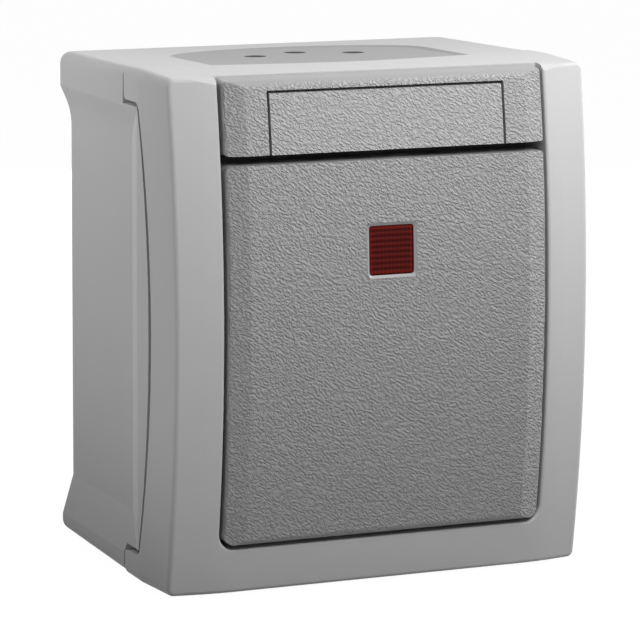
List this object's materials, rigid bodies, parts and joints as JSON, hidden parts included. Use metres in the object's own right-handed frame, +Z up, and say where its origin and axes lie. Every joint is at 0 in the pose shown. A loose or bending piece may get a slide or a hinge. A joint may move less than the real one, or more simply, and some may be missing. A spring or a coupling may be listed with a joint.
{
  "type": "illuminated switch",
  "caption": "Splash-proof surface-mounted rocker switch in a bowed grey housing, with an indicator window, a label field and a cable membrane in the top.",
  "frame": {"origin": "centre of the flat wall face, at mid width and mid height", "axes": "+X to the right seen from the front, +Y into the wall, +Z up"},
  "size_m": [0.066, 0.0505, 0.075],
  "materials": {
    "housing_grey": "fine matt",
    "frame_grey": "fine matt",
    "rocker_grey": "grained matt",
    "membrane_rubber": "matt",
    "seal_rubber": "matt",
    "red_lens": "ribbed, translucent",
    "white_plastic": "smooth",
    "base_plastic": "smooth",
    "steel": "zinc plated",
    "contact_brass": "bright",
    "contact_silver": "bright",
    "lamp_glass": "clear"
  },
  "bodies": {
    "housing": {"back_box": "housing_grey", "cable_membrane": "membrane_rubber", "common_contact": "contact_brass", "cover_gasket": "seal_rubber", "fixed_contact_lower": "contact_brass", "fixed_contact_upper": "contact_brass", "frame_screw_left": "steel", "frame_screw_right": "steel", "front_frame": "frame_grey", "glow_lamp": "lamp_glass", "insert_screw_left": "steel", "insert_screw_right": "steel", "label_bar": "rocker_grey", "label_panel": "rocker_grey", "lamp_carrier": "white_plastic", "lamp_lead_left": "contact_silver", "lamp_lead_right": "contact_silver", "mechanism_base": "base_plastic", "mounting_plate": "steel", "rocker_seal": "seal_rubber", "terminal_left_lower": "contact_brass", "terminal_left_upper": "contact_brass", "terminal_right_lower": "contact_brass", "terminal_right_upper": "contact_brass", "terminal_screw_left_lower": "contact_silver", "terminal_screw_left_upper": "contact_silver", "terminal_screw_right_lower": "contact_silver", "terminal_screw_right_upper": "contact_silver"},
    "rocker": {"rocker": "rocker_grey", "lens": "red_lens", "actuator": "white_plastic"},
    "plunger": {"plunger": "steel", "plunger_spring": "steel"},
    "contact_lever": {"moving_contact": "contact_brass", "moving_tip_upper": "contact_silver", "moving_tip_lower": "contact_silver"}
  },
  "joints": [
    {"name": "rocker_tilt", "type": "hinge", "parent": "housing", "child": "rocker", "pos_m": [0, -0.039, -0.00252], "axis": [-1, 0, 0], "range_deg": [0, 5]},
    {"name": "plunger_slide", "type": "slide", "parent": "rocker", "child": "plunger", "axis": [0, -1, 0], "range_m": [0, 0.001], "stiffness_N_per_m": 200, "springref_m": -0.001, "deforming": ["plunger_spring"]},
    {"name": "lever_tilt", "type": "hinge", "parent": "housing", "child": "contact_lever", "pos_m": [0, -0.01954, -0.00334], "axis": [-1, 0, 0], "range_deg": [-12, 0]}
  ],
  "couplings": [
    {"joint": "lever_tilt", "follows": "rocker_tilt", "ratio": -2.4}
  ]
}
